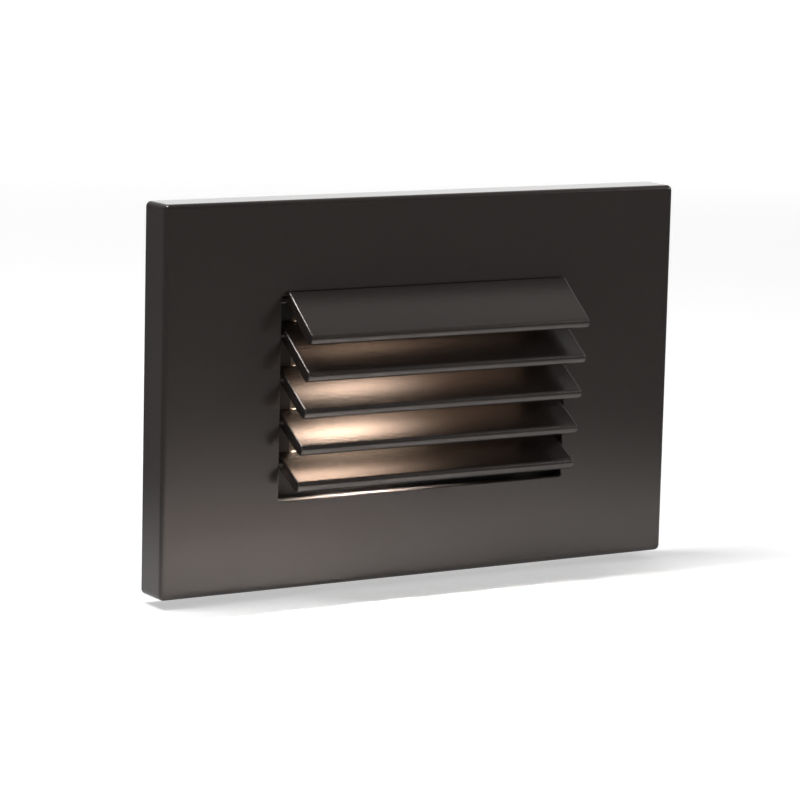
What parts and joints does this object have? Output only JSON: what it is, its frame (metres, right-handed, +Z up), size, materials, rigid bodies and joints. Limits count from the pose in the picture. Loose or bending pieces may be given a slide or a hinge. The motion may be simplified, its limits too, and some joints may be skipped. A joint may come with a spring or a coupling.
{
  "type": "louvred step light",
  "caption": "Recessed step or wall light with a landscape faceplate and sloping louvre blades that throw light down.",
  "frame": {"origin": "on the wall face, midway between the two screws that hold the bracket to the wall box", "axes": "+X to the right seen from in front, +Y into the wall, +Z up; the faceplate faces -Y"},
  "size_m": [0.127, 0.0578, 0.0826],
  "materials": {
    "painted_metal": "satin powder coat",
    "lamp_housing": "die-cast, tumbled",
    "retainer": "black, matte",
    "lens": "frosted",
    "gasket": "matte",
    "grommet": "matte",
    "reflector": "white, satin",
    "circuit_board": "white solder mask",
    "driver_board": "green solder mask",
    "led": "phosphor",
    "connector": "moulded",
    "heat_spreader": "milled",
    "screw_steel": "zinc plated",
    "set_screw": "black oxide",
    "standoff_brass": "turned",
    "transformer": "wound and taped",
    "capacitor": "sleeved",
    "choke": "ferrite",
    "terminal": "moulded",
    "chip": "moulded",
    "bracket_steel": "galvanised"
  },
  "bodies": {
    "wall_side": {"mounting_bracket": "bracket_steel"},
    "light": {"board_screws": "screw_steel", "cover_gasket": "gasket", "cover_screws": "screw_steel", "driver_board": "driver_board", "driver_capacitors": "capacitor", "driver_chips": "chip", "driver_choke": "choke", "driver_standoffs": "standoff_brass", "driver_terminal": "terminal", "driver_transformer": "transformer", "faceplate": "painted_metal", "heat_spreader": "heat_spreader", "housing_screws": "screw_steel", "lamp_housing": "lamp_housing", "lead_grommet": "grommet", "led_board": "circuit_board", "led_chips": "led", "led_connector": "connector", "lens": "lens", "lens_gasket": "gasket", "lens_retainer": "retainer", "louvre_blade_1": "painted_metal", "louvre_blade_2": "painted_metal", "louvre_blade_3": "painted_metal", "louvre_blade_4": "painted_metal", "louvre_blade_5": "painted_metal", "rear_cover": "lamp_housing", "reflector": "reflector", "spreader_screws": "screw_steel", "wall_gasket": "gasket"},
    "left_set_screw": {"set_screw_left": "set_screw"},
    "right_set_screw": {"set_screw_right": "set_screw"}
  },
  "joints": [
    {"name": "light_off_bracket", "type": "slide", "parent": "wall_side", "child": "light", "axis": [0, -1, 0], "range_m": [0, 0.046]},
    {"name": "left_set_screw_out", "type": "slide", "parent": "light", "child": "left_set_screw", "axis": [0, 0, -1], "range_m": [0, 0.002]},
    {"name": "right_set_screw_out", "type": "slide", "parent": "light", "child": "right_set_screw", "axis": [0, 0, -1], "range_m": [0, 0.002]}
  ]
}
